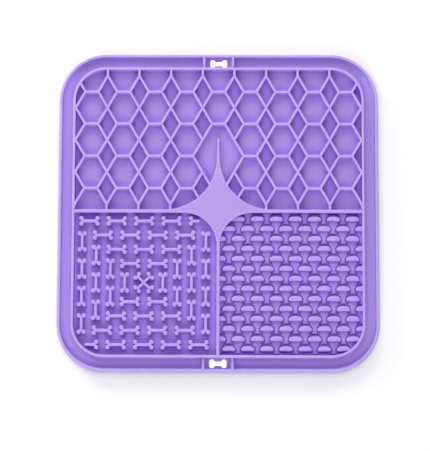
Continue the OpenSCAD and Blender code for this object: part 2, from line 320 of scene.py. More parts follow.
def grain_group():
    """Node group: fine moulded grain as a height, and the slow drift of the pigment as a mask."""
    group = bpy.data.node_groups.new("moulded_grain", "ShaderNodeTree")
    for name, value in (("Grain per metre", GRAIN_PER_M), ("Drift per metre", DRIFT_PER_M)):
        socket = group.interface.new_socket(name, in_out="INPUT", socket_type="NodeSocketFloat")
        socket.default_value = value
    for name in ("Height", "Drift", "Gloss"):
        group.interface.new_socket(name, in_out="OUTPUT", socket_type="NodeSocketFloat")
    nodes, links = group.nodes, group.links
    come = nodes.new("NodeGroupInput")
    leave = nodes.new("NodeGroupOutput")
    place = nodes.new("ShaderNodeTexCoord")
    fine = nodes.new("ShaderNodeTexNoise")
    fine.inputs["Detail"].default_value = GRAIN_DETAIL
    coarse = nodes.new("ShaderNodeTexNoise")
    coarse.inputs["Detail"].default_value = DRIFT_DETAIL
    smear = nodes.new("ShaderNodeTexNoise")
    smear.inputs["Scale"].default_value = GLOSS_PER_M
    links.new(place.outputs["Object"], fine.inputs["Vector"])
    links.new(place.outputs["Object"], coarse.inputs["Vector"])
    links.new(place.outputs["Object"], smear.inputs["Vector"])
    links.new(come.outputs["Grain per metre"], fine.inputs["Scale"])
    links.new(come.outputs["Drift per metre"], coarse.inputs["Scale"])
    links.new(fine.outputs["Fac"], leave.inputs["Height"])
    links.new(coarse.outputs["Fac"], leave.inputs["Drift"])
    links.new(smear.outputs["Fac"], leave.inputs["Gloss"])
    return group


# %% The material

# The first two colours: the silicone in open places, and a darker violet that is painted shade in
# corners and creases.
PALE = (0.515, 0.380, 0.880, 1.0)
PAINTED_SHADE = (0.320, 0.125, 0.760, 1.0)
# The next two multiply the colour: one for thick silicone, and a lighter one that is a painted glow on
# thin walls.
THICK = (1.0, 1.0, 1.0, 1.0)
PAINTED_THIN_GLOW = (1.5, 1.56, 1.3, 1.0)
THIN_REACH = 1.4
DRIFT_SHADE = 0.93
SHADE_REACH = 7.0
SHADE_SAMPLES = 5
FULL_SHADE_AT, NO_SHADE_AT = 0.1, 0.85
SPECULAR = 0.45
SINK_SHARE = 0.5
SINK = 1.6
SINK_COLOURS = (1.0, 0.75, 1.3)
GLOSSY, DULL = 0.42, 0.54
GRAIN_STRENGTH = 0.35
GRAIN_DEPTH = 0.05


def silicone():
    """Satin silicone with painted shade: a darker violet in corners and creases, paler where open, and a
    painted glow on thin walls.
    """
    material = bpy.data.materials.new("lavender_silicone")
    material.use_nodes = True
    nodes, links = material.node_tree.nodes, material.node_tree.links
    skin = nodes["Principled BSDF"]
    skin.inputs["Specular IOR Level"].default_value = SPECULAR
    skin.inputs["Subsurface Weight"].default_value = SINK_SHARE
    skin.inputs["Subsurface Radius"].default_value = SINK_COLOURS
    skin.inputs["Subsurface Scale"].default_value = SINK * MM
    grain = nodes.new("ShaderNodeGroup")
    grain.node_tree = grain_group()
    # Painted shade: Ambient Occlusion turns the colour from the open one to the darker violet in
    # corners, creases and narrow grooves.
    hidden = nodes.new("ShaderNodeAmbientOcclusion")
    hidden.samples = SHADE_SAMPLES
    hidden.inputs["Distance"].default_value = SHADE_REACH * MM
    open_share = nodes.new("ShaderNodeMapRange")
    open_share.inputs["From Min"].default_value = FULL_SHADE_AT
    open_share.inputs["From Max"].default_value = NO_SHADE_AT
    # This mix is the painted shade: the darker violet where a place is hidden, the open colour
    # elsewhere.
    depth = nodes.new("ShaderNodeMix")
    depth.data_type = "RGBA"
    depth.inputs["A"].default_value = PAINTED_SHADE
    depth.inputs["B"].default_value = PALE
    # Painted glow: Ambient Occlusion looking inwards finds thin walls and makes their colour lighter, as
    # if lit through.
    thick = nodes.new("ShaderNodeAmbientOcclusion")
    thick.samples = SHADE_SAMPLES
    thick.inside = True
    thick.only_local = True
    thick.inputs["Distance"].default_value = THIN_REACH * MM
    glow = nodes.new("ShaderNodeMix")
    glow.data_type = "RGBA"
    glow.inputs["A"].default_value = PAINTED_THIN_GLOW
    glow.inputs["B"].default_value = THICK
    lit = nodes.new("ShaderNodeVectorMath")
    lit.operation = "MULTIPLY"
    drift = nodes.new("ShaderNodeMapRange")
    drift.inputs["To Min"].default_value = DRIFT_SHADE
    drift.inputs["To Max"].default_value = 2 - DRIFT_SHADE
    tone = nodes.new("ShaderNodeVectorMath")
    tone.operation = "SCALE"
    gloss = nodes.new("ShaderNodeMapRange")
    gloss.inputs["To Min"].default_value = GLOSSY
    gloss.inputs["To Max"].default_value = DULL
    bump = nodes.new("ShaderNodeBump")
    bump.inputs["Strength"].default_value = GRAIN_STRENGTH
    bump.inputs["Distance"].default_value = GRAIN_DEPTH * MM
    links.new(hidden.outputs["AO"], open_share.inputs["Value"])
    links.new(open_share.outputs["Result"], depth.inputs["Factor"])
    links.new(grain.outputs["Drift"], drift.inputs["Value"])
    links.new(thick.outputs["AO"], glow.inputs["Factor"])
    links.new(depth.outputs["Result"], lit.inputs[0])
    links.new(glow.outputs["Result"], lit.inputs[1])
    links.new(lit.outputs["Vector"], tone.inputs["Vector"])
    links.new(drift.outputs["Result"], tone.inputs["Scale"])
    links.new(tone.outputs["Vector"], skin.inputs["Base Color"])
    links.new(grain.outputs["Gloss"], gloss.inputs["Value"])
    links.new(gloss.outputs["Result"], skin.inputs["Roughness"])
    links.new(grain.outputs["Height"], bump.inputs["Height"])
    links.new(bump.outputs["Normal"], skin.inputs["Normal"])
    return material


LAVENDER = silicone()
WELD = 0.002
SMOOTH_UNDER = 40


def dress(obj):
    """Gives a piece the silicone."""
    obj.data.materials.clear()
    obj.data.materials.append(LAVENDER)


def finish_piece(obj, nodes):
    """Cleans a piece, turns its faces outwards, dresses it, and lets it stand for its CAD nodes."""
    edit(obj)
    bpy.ops.mesh.select_all(action="SELECT")
    bpy.ops.mesh.remove_doubles(threshold=WELD * MM)
    bpy.ops.mesh.normals_make_consistent(inside=False)
    close()
    bpy.ops.object.shade_smooth_by_angle(angle=math.radians(SMOOTH_UNDER))
    dress(obj)
    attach(obj, "root")
    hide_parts(*nodes)
    ends = [[round(v / MM, 2) for v in obj.bound_box[i]] for i in (0, 6)]
    print(obj.name, "faces", len(obj.data.polygons), "box", ends)


# %% [markdown]
# ## The flat sheet
#
# The floor of the fields and of the gutter is a plain flat sheet, and the CAD already has it right. It
# keeps its shape and only gets the silicone.

# %% Dressing the sheet and the gutter floor
for node in ("field_sheet", "gutter_floor"):
    dress(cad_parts[node])

# %% [markdown]
# ## The two rims
#
# Both rims are walls with a level top and soft edges that run all round the mat. A rounded square is
# drawn once for each, and the steps walk it up the outside, over the top and down the inside. The face
# that is left in the middle is deleted and the two open edges are bridged, which closes the ring
# underneath. An edge is then picked by its place, with a little SLACK.

# %% A ring from a rounded square

CORNER_STEPS = 20
SLACK = 0.1


def rounded_square(name, half, z):
    """A square of that half size with round corners about the shared corner centres."""
    mid = CORNER_MID
    pen = Pen(name, mid, -half, z)
    pen.arc(mid, -mid, 90, CORNER_STEPS)
    pen.line(half, mid)
    pen.arc(mid, mid, 90, CORNER_STEPS)
    pen.line(-mid, half)
    pen.arc(-mid, mid, 90, CORNER_STEPS)
    pen.line(-half, -mid)
    pen.arc(-mid, -mid, 90, CORNER_STEPS)
    pen.line(mid, -half)
    return pen.fill()


def ring(name, half, z, steps):
    """Walks a rounded square through the steps and closes it to a ring."""
    obj = rounded_square(name, half, z)
    rise(steps)
    bpy.ops.mesh.delete(type="ONLY_FACE")
    bpy.ops.mesh.select_mode(type="EDGE")
    bpy.ops.mesh.select_all(action="DESELECT")
    bpy.ops.mesh.select_non_manifold()
    bpy.ops.mesh.bridge_edge_loops()
    return obj


def reach(place):
    """Half size of the rounded square on which a place lies."""
    x, y = abs(place.x), abs(place.y)
    if x > CORNER_MID and y > CORNER_MID:
        return CORNER_MID + math.hypot(x - CORNER_MID, y - CORNER_MID)
    return max(x, y)


# %% Outer rim, with its leaning wall and a softened lower edge

OUTER_EDGE = 0.45
OUTER_RIM_W = 1.7
LEAN = 0.7
OUTER_FOOT = 0.6
LOWER_EDGE = 0.5
outer_wall = RIM_TOP - OUTER_EDGE - UNDERSIDE
inner_wall = RIM_TOP - OUTER_EDGE - OUTER_FOOT - LEVEL
steps = [(LEAN, outer_wall)]
steps += level_top(OUTER_RIM_W, OUTER_EDGE)
steps += [(DRAFT, -inner_wall)]
steps += down_fillet(OUTER_FOOT, FOOT_STEPS)
steps += [(DRAFT, UNDERSIDE + DRAFT - LEVEL)]
outer_rim = ring("rim_outer", FOOT_HALF, UNDERSIDE, steps)


def lower_edge_outside(a, b):
    """Edges along the foot of the leaning wall."""
    return max(a.z, b.z) < UNDERSIDE + TOUCH and min(reach(a), reach(b)) > FOOT_HALF - SLACK


pick(outer_rim, "EDGE", lower_edge_outside)
bpy.ops.mesh.bevel(offset=LOWER_EDGE * MM, segments=BEVEL_STEPS)
finish_piece(outer_rim, ["outer_rim"])

# %% Inner rim

INNER_RIM_W = PLATE_HALF - FIELD_HALF
INNER_EDGE = 0.35
INNER_FOOT = 0.5
wall = WALL_TOP - INNER_EDGE - INNER_FOOT - LEVEL
steps = [(DRAFT, SUNK)]
steps += fillet(INNER_FOOT, FOOT_STEPS)
steps += [(DRAFT, wall)]
steps += level_top(INNER_RIM_W - 2 * DRAFT, INNER_EDGE)
steps += [(DRAFT, -wall)]
steps += down_fillet(INNER_FOOT, FOOT_STEPS)
steps += [(DRAFT, -SUNK)]
inner_rim = ring("rim_inner", PLATE_HALF + INNER_FOOT + DRAFT, LEVEL - SUNK, steps)
finish_piece(inner_rim, ["inner_rim"])

# %% [markdown]
# ## Gutter dams
#
# Four short dams cross the gutter beside the two hanging holes, so that spilt food doesn't run out
# through them. Each is a small wall with soft edges. Its ends run into the rims, where they can't be
# seen, and the copies for the lower gutter are turned half round.

# %% One dam, copied four times

DAM_X = 9.0
DAM_HALF = 0.85
DAM_FOOT = 0.45
DAM_EDGE = 0.35
DAM_PAST_RIM = 0.4
DAM_SHORT_OF_FOOT = 0.8
dam_in = FIELD_HALF + DAM_PAST_RIM
dam_out = FOOT_HALF - DAM_SHORT_OF_FOOT
pen = Pen("gutter_walls", -DAM_HALF - DAM_FOOT, dam_in, LEVEL - SUNK)
pen.line(DAM_HALF + DAM_FOOT, dam_in)
pen.line(DAM_HALF + DAM_FOOT, dam_out)
pen.line(-DAM_HALF - DAM_FOOT, dam_out)
pen.line(-DAM_HALF - DAM_FOOT, dam_in)
dam = pen.fill()
body(SUNK)
rise(fillet(DAM_FOOT, FOOT_STEPS))
rise([(DRAFT, RIM_TOP - DAM_EDGE - DAM_FOOT - LEVEL)])
rise(shoulder(DAM_EDGE, EDGE_STEPS) + [(HOLD, 0)])
dams = copies(dam, [(-DAM_X, 0, 0), (DAM_X, 0, 0), (-DAM_X, 0, 180), (DAM_X, 0, 180)])
finish_piece(dams, ["gutter_dams"])

# %% [markdown]
# ## Hangers with bone-shaped holes
#
# In the middle of the top and bottom gutter a bone-shaped hole lets the mat hang on a hook. The hole is
# cut from the plate with a Boolean, and its upper and lower edges are bevelled, because a moulded hole
# is never sharp.

# %% The bone outline

NECK_STEPS = 3
KNOB_STEPS = 10
CLEFT_STEPS = 2
FREE_END_STEPS = 5


def bone_outline(name, z, half_l, half_w, knob_r, half_shaft, grow, hollow, cleft, short=None):
    """A bone seen from above. grow makes it larger all round. short is where a short bone stops."""
    knob = Vector((half_l - knob_r, half_w - knob_r))
    neck_r = knob_r + hollow
    neck_y = half_shaft + hollow
    neck = Vector((knob.x - math.sqrt(neck_r**2 - (neck_y - knob.y) ** 2), neck_y))
    cleft_r = knob_r + cleft
    notch = Vector((knob.x + math.sqrt(cleft_r**2 - knob.y**2), 0.0))
    to_knob = math.degrees(math.atan2(knob.y - neck.y, knob.x - neck.x))
    to_notch = math.degrees(math.atan2(-knob.y, notch.x - knob.x))
    if short is None:
        pen = Pen(name, 0, half_shaft + grow, z)
    else:
        pen = Pen(name, -short - grow, 0, z)
        pen.arc(half_shaft - short, 0, -90, FREE_END_STEPS)
    pen.line(neck.x, half_shaft + grow)
    pen.arc(neck.x, neck.y, to_knob + 90, NECK_STEPS)
    pen.arc(knob.x, knob.y, to_notch - to_knob - 180, KNOB_STEPS)
    pen.arc(notch.x, notch.y, -to_notch, CLEFT_STEPS)
    return pen.fill("XY" if short is None else "Y")


# %% The hangers

HOLE_HALF_L = 5.35
HOLE_HALF_W = 2.65
HOLE_KNOB_R = 1.64
HOLE_HALF_WAIST = 1.3
HOLE_SOFT = 0.3
HOLE_NECK = 0.4
HOLE_CLEFT = 0.6
hole_y = (PLATE_HALF + GUTTER_HALF) / 2
hole = bone_outline(
    "hole", UNDERSIDE - SUNK, HOLE_HALF_L, HOLE_HALF_W, HOLE_KNOB_R, HOLE_HALF_WAIST,
    0, HOLE_NECK, HOLE_CLEFT,
)
body(LEVEL - UNDERSIDE + 2 * SUNK)
plate_low, plate_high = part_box("hanger_top")
plate_mid = (0, 0, (plate_low.z + plate_high.z) / 2)
close()
bpy.ops.mesh.primitive_cube_add(size=1, location=plate_mid, scale=plate_high - plate_low)
hanger = bpy.context.active_object
hanger.name = hanger.data.name = "hanger"
bpy.ops.object.transform_apply(location=True, rotation=True, scale=True)
trim(hanger, hole, "DIFFERENCE")


def round_the_hole(a, b):
    """Edges of the hole that lie in the upper or the lower face."""
    level_edge = abs(a.z - b.z) < TOUCH
    in_length = max(abs(a.x), abs(b.x)) < HOLE_HALF_L + SLACK
    in_width = max(abs(a.y), abs(b.y)) < HOLE_HALF_W + SLACK
    return level_edge and in_length and in_width


pick(hanger, "EDGE", round_the_hole)
bpy.ops.mesh.bevel(offset=HOLE_SOFT * MM, segments=BEVEL_STEPS)
for name, node, side in (("hanger_upper", "hanger_top", 1), ("hanger_lower", "hanger_bottom", -1)):
    close()
    twin = hanger.copy()
    twin.data = hanger.data.copy()
    twin.name = twin.data.name = name
    bpy.context.collection.objects.link(twin)
    edit(twin)
    bpy.ops.mesh.select_all(action="SELECT")
    bpy.ops.transform.translate(value=(0, side * hole_y * MM, 0))
    finish_piece(twin, [node])
bpy.data.objects.remove(hanger)

# %% [markdown]
# ## Star and dividers
#
# The star, its spike and the three dividers are one wall of even height. Half of its outline is drawn,
# mirrored and filled, and the steps give it a small fillet at the foot and a round shoulder. The last
# step lies flat, so that the smooth shading of the shoulder stops there and the top stays level.

# %% Half the outline, mirrored

STAR_UPPER_R = 32.5
STAR_LOWER_R = 20.5
SPIKE_TIP_R = 0.5
SPIKE_TIP_Y = high("star_spike", Y) - SPIKE_TIP_R
STAR_FOOT = 0.45
STAR_SHOULDER = 0.3
ARC_STEPS = 26
TIP_STEPS = 8
side = DIVIDER_HALF + STAR_FOOT + DRAFT
run_end = PLATE_HALF - SLACK
upper_mid = STAR_UPPER_R + DIVIDER_HALF
lower_mid = STAR_LOWER_R + DIVIDER_HALF
tip_grow = side - DIVIDER_HALF
run = SPIKE_TIP_Y - upper_mid
tip_share = SPIKE_TIP_R / math.hypot(DIVIDER_HALF, run)
lean = math.degrees(math.atan(DIVIDER_HALF / run) - math.asin(tip_share))
pen = Pen("star_and_dividers", 0, SPIKE_TIP_Y + SPIKE_TIP_R + tip_grow, LEVEL - SUNK)
pen.arc(0, SPIKE_TIP_Y, lean - 90, TIP_STEPS)
pen.line(side, upper_mid)
pen.arc(upper_mid, upper_mid, 90, ARC_STEPS)
pen.line(run_end, side)
pen.line(run_end, -side)
pen.line(lower_mid, -side)
pen.arc(lower_mid, -lower_mid, 90, ARC_STEPS)
pen.line(side, -run_end)
pen.line(0, -run_end)
star = pen.fill("X")
body(SUNK)
rise(fillet(STAR_FOOT, FOOT_STEPS))
rise([(DRAFT, WALL_TOP - STAR_SHOULDER - STAR_FOOT - LEVEL)])
rise(shoulder(STAR_SHOULDER, EDGE_STEPS) + [(HOLD, 0)])
finish_piece(star, ["centre_star", "star_spike", "divider_left", "divider_right", "divider_lower"])

# %% [markdown]
# ## Honeycomb
#
# Seen from above, the ribs are the lines between cells: hexagons, with a diamond between every four of
# them. So the cells are drawn instead of the ribs. One hexagon and one diamond are repeated with Array
# modifiers, and part cells fill the rows along the rim and the divider. All cells share their edges.
# Each cell is then inset by itself: in over half a rib's level top, round its edge, down its wall, and
# over a small fillet on to the floor. What two neighbours leave between them is a rib with soft edges.
# The net stays RIB_SHY of the walls' tops and of the sheet, so that no two faces lie in one plane. At
# the rim and the divider it runs on inside the wall and is trimmed off there.

# %% The plan of the cells

COLUMNS = 9
ROWS = 3
PITCH_X = 2 * FIELD_HALF / COLUMNS
TOP_SHARE = 0.684
BOTTOM_SHARE = 0.66
PITCH_Y = (FIELD_HALF - DIVIDER_HALF) / (ROWS + TOP_SHARE + BOTTOM_SHARE)
FIRST_ROW = DIVIDER_HALF + BOTTOM_SHARE * PITCH_Y
ARM_Y = PITCH_Y / 2
RIB_LEAN = 60
ARM_X = ARM_Y / math.tan(math.radians(RIB_LEAN))
EDGE_HALF = PITCH_X / 2 - ARM_X
RIB_SHY = 0.02
RIB_TOP = WALL_TOP - RIB_SHY
LAST_COLUMN = (COLUMNS - 1) / 2
RUN_UNDER = 1.6


def cell(name, points):
    """One cell of the net, drawn through its corners."""
    pen = Pen(name, *points[-1], RIB_TOP)
    for x, y in points:
        pen.line(x, y)
    return pen.fill()


def repeated(obj, across, up=1):
    """Repeats a cell across the mat and up it with two Array modifiers."""
    close()
    bpy.context.view_layer.objects.active = obj
    for count, step in ((across, (PITCH_X * MM, 0, 0)), (up, (0, PITCH_Y * MM, 0))):
        array = obj.modifiers.new("Array", "ARRAY")
        array.count = count
        array.use_relative_offset = False
        array.use_constant_offset = True
        array.constant_offset_displace = step
        bpy.ops.object.modifier_apply(modifier=array.name)
    return obj


left = -LAST_COLUMN * PITCH_X
hexagon_y = FIRST_ROW + ARM_Y
top_y = FIRST_ROW + ROWS * PITCH_Y
side_x = PITCH_X / 2
hexagons = cell("honeycomb", [
    (left + side_x, hexagon_y),
    (left + EDGE_HALF, hexagon_y + ARM_Y),
    (left - EDGE_HALF, hexagon_y + ARM_Y),
    (left - side_x, hexagon_y),
    (left - EDGE_HALF, hexagon_y - ARM_Y),
    (left + EDGE_HALF, hexagon_y - ARM_Y),
])
repeated(hexagons, COLUMNS, ROWS)
first = left - side_x
diamonds = cell("diamonds", [
    (first + ARM_X, FIRST_ROW),
    (first, FIRST_ROW + ARM_Y),
    (first - ARM_X, FIRST_ROW),
    (first, FIRST_ROW - ARM_Y),
])
repeated(diamonds, COLUMNS + 1, ROWS + 1)
upper_edge = FIELD_HALF + RUN_UNDER
upper_cells = cell("upper_cells", [
    (left + EDGE_HALF, top_y),
    (left + side_x, top_y + ARM_Y),
    (left + side_x, upper_edge),
    (left - side_x, upper_edge),
    (left - side_x, top_y + ARM_Y),
    (left - EDGE_HALF, top_y),
])
repeated(upper_cells, COLUMNS)
lower_edge = DIVIDER_HALF - RUN_UNDER
lower_cells = cell("lower_cells", [
    (left - EDGE_HALF, FIRST_ROW),
    (left - side_x, FIRST_ROW - ARM_Y),
    (left - side_x, lower_edge),
    (left + side_x, lower_edge),
    (left + side_x, FIRST_ROW - ARM_Y),
    (left + EDGE_HALF, FIRST_ROW),
])
repeated(lower_cells, COLUMNS)
honeycomb = join([hexagons, diamonds, upper_cells, lower_cells])
edit(honeycomb)
bpy.ops.mesh.select_all(action="SELECT")
bpy.ops.mesh.remove_doubles(threshold=TOUCH * MM)
print("cells:", len(bmesh.from_edit_mesh(honeycomb.data).faces))

# %% The large cell, and the two lower corners

OPEN_ROW_Y = FIRST_ROW + PITCH_Y
NEARBY = 1.0


def in_large_cell(middle, normal):
    """The two hexagons under and over the missing rib, and the diamonds beside it."""
    up = abs(middle.y - OPEN_ROW_Y)
    hexagon = abs(middle.x) < NEARBY and abs(up - ARM_Y) < NEARBY
    diamond = abs(abs(middle.x) - side_x) < NEARBY and up < NEARBY
    return hexagon or diamond


pick(honeycomb, "FACE", in_large_cell)
bpy.ops.mesh.dissolve_faces()
pick(honeycomb, "VERT", lambda place: place.y < 0 and place.x > FIELD_HALF - SLACK)
bpy.ops.transform.translate(value=(RUN_UNDER * MM, 0, 0))
pick(honeycomb, "VERT", lambda place: place.y < 0 and place.x < SLACK - FIELD_HALF)
bpy.ops.transform.translate(value=(-RUN_UNDER * MM, 0, 0))
print("cells with the large one:", len(bmesh.from_edit_mesh(honeycomb.data).faces))

# %% Ribs from cells

RIB_HALF = 0.725
RIB_EDGE = 0.3
CELL_FOOT = 0.5
CELL_RUN_OUT = 0.1
pick(honeycomb, "FACE", lambda middle, normal: True)
cell_wall = RIB_TOP - RIB_EDGE - CELL_FOOT - LEVEL - RIB_SHY
rise([(RIB_HALF - RIB_EDGE - HOLD, 0), (HOLD, 0)], single=True)
rise(shoulder(RIB_EDGE, EDGE_STEPS, start=90, end=180), single=True)
rise([(DRAFT, -cell_wall)], single=True)
rise(down_fillet(CELL_FOOT, FOOT_STEPS) + [(CELL_RUN_OUT, 0)], single=True)

# %% Trimming a piece to its field


def keep_in_field(obj, bottom, towards):
    """Keeps what is inside the middle of the inner rim and lies that way from the mat's middle."""
    field = rounded_square("field", RIM_MID, bottom)
    body(WALL_TOP + SUNK - bottom)
    trim(obj, field, "INTERSECT")
    edit(obj)
    bpy.ops.mesh.select_all(action="SELECT")
    bpy.ops.mesh.bisect(plane_co=(0, 0, 0), plane_no=towards, use_fill=True, clear_inner=True)


# %% Closing the net below

NET_RAISED = 0.2
NET_BOTTOM = UNDERSIDE + NET_RAISED
net_down = (0, 0, (NET_BOTTOM - RIB_TOP) * MM)
bpy.ops.mesh.select_mode(type="EDGE")
bpy.ops.mesh.select_all(action="DESELECT")
bpy.ops.mesh.select_non_manifold()
bpy.ops.mesh.extrude_region_move(TRANSFORM_OT_translate={"value": net_down})
bpy.ops.mesh.edge_face_add()
bpy.ops.mesh.select_all(action="SELECT")
bpy.ops.mesh.normals_make_consistent(inside=False)
keep_in_field(honeycomb, NET_BOTTOM - SUNK, (0, 1, 0))
finish_piece(honeycomb, [
    "honeycomb_rising_ribs",
    "honeycomb_falling_ribs",
    "honeycomb_level_ribs",
    "honeycomb_upright_ribs",
])

# %% [markdown]
# ## Bones
#
# The bone ridges stand in four square rings round a pair of crossed bones. One bone is modelled: its
# outline has a hollow neck and a small cleft at each end, and the steps round it over. Every ring is
# then a row of copies along its four sides. Two bones of the outer ring would run into the star and the
# rounded corner, so they are drawn short, with one round free end.

# %% One bone

BONE_TOP = high("bone_ring_1", Z)
BONE_HALF_L = 6.4
BONE_HALF_W = 2.975
BONE_KNOB_R = 1.38
BONE_HALF_SHAFT = 0.875
BONE_FOOT = 0.15
BONE_SHOULDER = 0.55
BONE_NECK = 0.4
BONE_CLEFT = 0.22
BONE_FOOT_STEPS = 3
BONE_SHOULDER_STEPS = 5


def raise_bone():
    """Body, fillet, wall and shoulder of a bone whose outline is selected."""
    body(SUNK)
    rise(fillet(BONE_FOOT, BONE_FOOT_STEPS))
    rise([(DRAFT, BONE_TOP - BONE_SHOULDER - BONE_FOOT - LEVEL)])
    rise(shoulder(BONE_SHOULDER, BONE_SHOULDER_STEPS))


def bone(name, short=None):
    """One bone at the origin, whole or cut short at one end."""
    obj = bone_outline(
        name, LEVEL - SUNK, BONE_HALF_L, BONE_HALF_W, BONE_KNOB_R, BONE_HALF_SHAFT,
        BONE_FOOT + DRAFT, BONE_NECK, BONE_CLEFT, short,
    )
    raise_bone()
    return obj


# %% Rings of bones

BONES_X = (low("bone_ring_2", X) + high("bone_ring_2", X)) / 2
BONES_Y = (low("bone_ring_2", Y) + high("bone_ring_2", Y)) / 2
RING_STEP = 8.85
RING_START = 0.333
BONE_PITCH = 16.99
RINGS = 4
SHORT_BY_STAR = 0.5
SHORT_BY_CORNER = 2.0
for number in range(1, RINGS + 1):
    half = (number + RING_START) * RING_STEP
    places = []
    for i in range(number + 1):
        across = (i - number / 2) * BONE_PITCH
        for edge in (-1, 1):
            by_star = number == RINGS and edge == 1 and i == number
            by_corner = number == RINGS and edge == -1 and i == 0
            if not by_star and not by_corner:
                places.append((BONES_X + across, BONES_Y + edge * half, 0))
    for i in range(1, number + 1):
        up = (i - (number + 1) / 2) * BONE_PITCH
        for edge in (-1, 1):
            places.append((BONES_X + edge * half, BONES_Y + up, 90))
    made = [copies(bone(f"bones_ring_{number}"), places)]
    if number == RINGS:
        reach_x = number / 2 * BONE_PITCH
        made.append(copies(bone("short_a", SHORT_BY_STAR), [(BONES_X + reach_x, BONES_Y + half, 180)]))
        made.append(copies(bone("short_b", SHORT_BY_CORNER), [(BONES_X - reach_x, BONES_Y - half, 0)]))
    ring_of_bones = join(made)
    ring_of_bones.name = ring_of_bones.data.name = f"bones_ring_{number}"
    finish_piece(ring_of_bones, [f"bone_ring_{number}"])

# %% [markdown]
# ## Crossed bones
#
# In the middle of the rings two bones lie across each other. They are two solids of the same section,
# turned a quarter of a turn, and a Boolean joins them.

# %% Two bones, joined

CROSS_HALF_L = 7.1
CROSS_HALF_W = 2.95
CROSS_KNOB_R = 1.3
CROSS_HALF_SHAFT = 0.75
CROSS_CLEFT = 0.4
crossed = []
for name, turn in (("crossed_a", 45), ("crossed_b", 135)):
    bone_outline(
        name, LEVEL - SUNK, CROSS_HALF_L, CROSS_HALF_W, CROSS_KNOB_R, CROSS_HALF_SHAFT,
        BONE_FOOT + DRAFT, BONE_NECK, CROSS_CLEFT,
    )
    raise_bone()
    crossed.append(copies(bpy.context.active_object, [(BONES_X, BONES_Y, turn)]))
trim(crossed[0], crossed[1], "UNION")
crossed[0].name = crossed[0].data.name = "crossed_pair"
finish_piece(crossed[0], ["crossed_bones"])

# %% [markdown]
# ## Nubs
#
# The nubs stand in staggered rows. Seen from above each is the larger part of an oval: a round back,
# round ends, and a straight steep side towards the reader that holds the food back. The back is one
# long flat arc between two tighter ones, so the outline is drawn as arcs that touch each other without
# a kink. Where a row meets the rim or the divider, the last nub runs on inside that wall and is
# trimmed off in the middle of it.

# %% One nub and its rows

NUB_TOP = high("nub_row_7", Z)
NUB_HALF_L = 4.2
NUB_BACK = 2.3
NUB_FLAT = 0.9
NUB_CORNER_R = 1.0
NUB_END_R = 1.8
NUB_FOOT = 0.6
NUB_SHOULDER = 0.95
NUB_DOME = 1.2
NUB_CORNER_STEPS = 4
NUB_END_STEPS = 5
NUB_BACK_STEPS = 4
NUB_DOME_STEPS = 6
NUB_ROWS = 14
NUBS_IN_ROW = 8
NUB_FIRST_X = 0.7
NUB_PITCH_X = (FIELD_HALF - NUB_FIRST_X) / (NUBS_IN_ROW - 0.5)


def nub(name):
    """One nub at the origin. Its right half is drawn and mirrored."""
    grow = NUB_FOOT + DRAFT
    mid_y = NUB_CORNER_R - NUB_FLAT
    end_x = NUB_HALF_L - NUB_END_R
    rise_y = NUB_BACK - NUB_END_R
    back_y = (end_x**2 + mid_y**2 - rise_y**2) / (2 * (mid_y - rise_y))
    end_turn = math.degrees(math.atan2(mid_y - back_y, end_x))
    pen = Pen(name, 0, -NUB_FLAT - grow, LEVEL - SUNK)
    pen.line(NUB_HALF_L - NUB_CORNER_R, -NUB_FLAT - grow)
    pen.arc(NUB_HALF_L - NUB_CORNER_R, mid_y, 90, NUB_CORNER_STEPS)
    pen.arc(end_x, mid_y, end_turn, NUB_END_STEPS)
    pen.arc(0, back_y, 90 - end_turn, NUB_BACK_STEPS)
    pen.fill("X")
    body(SUNK)
    rise(fillet(NUB_FOOT, FOOT_STEPS))
    rise([(DRAFT, NUB_TOP - NUB_DOME - NUB_FOOT - LEVEL)])
    rise(shoulder(NUB_SHOULDER, NUB_DOME_STEPS, height=NUB_DOME))
    return pen.obj


for row in range(1, NUB_ROWS + 1):
    y = low(f"nub_row_{row}", Y) + NUB_FLAT
    shift = 0.5 if row % 2 == 0 else 0
    start = 1 if row == 1 else 0
    line = [(NUB_FIRST_X + (i + shift) * NUB_PITCH_X, y, 0) for i in range(start, NUBS_IN_ROW)]
    nubs = copies(nub("nubs"), line)
    keep_in_field(nubs, LEVEL - 2 * SUNK, (1, 0, 0))
    nubs.name = nubs.data.name = f"nubs_row_{row}"
    finish_piece(nubs, [f"nub_row_{row}"])

# %% [markdown]
# ## Necks between the nubs
#
# From the straight side of each nub a low neck of silicone runs towards the reader. It is narrow where
# it passes between the two nubs of the next row and widens again behind them, so that only thin grooves
# are left on the sheet. Half of it is drawn: out along the nub, in round its neighbour, and a small
# round corner at the end. On the mat it reads as a middle tone between the pale nubs and the grooves.

# %% One neck, copied between all rows

NECK_TOP = high("nub_necks", Z)
NECK_HALF_W = 2.7
NECK_START = 0.6
NECK_GROOVE = 0.55
NECK_END_GAP = 1.4
NECK_CORNER_R = 0.5
NECK_SHOULDER = 0.42
NECK_DOME = 0.7
NECK_BITE_STEPS = 7
NECK_CORNER_STEPS = 4
NECK_DOME_STEPS = 3
FIRST_ROW_Y = low("nub_row_1", Y) + NUB_FLAT
ROW_PITCH = (low("nub_row_1", Y) - low(f"nub_row_{NUB_ROWS}", Y)) / (NUB_ROWS - 1)
beside_x = NUB_PITCH_X / 2 - NUB_HALF_L + NUB_BACK
bite_r = NUB_BACK + NECK_GROOVE
corner_y = NUB_BACK + NECK_END_GAP + NECK_CORNER_R - 2 * ROW_PITCH
corner_down = -ROW_PITCH - corner_y
corner_x = beside_x - math.sqrt((bite_r + NECK_CORNER_R) ** 2 - corner_down**2)
bite_start = math.acos((NECK_HALF_W - beside_x) / bite_r)
bite_end = math.pi + math.atan2(corner_down, beside_x - corner_x)
pen = Pen("nub_necks_drawn", 0, -NECK_START, LEVEL - SUNK)
pen.line(NECK_HALF_W, -NECK_START)
pen.line(NECK_HALF_W, -ROW_PITCH + bite_r * math.sin(bite_start))
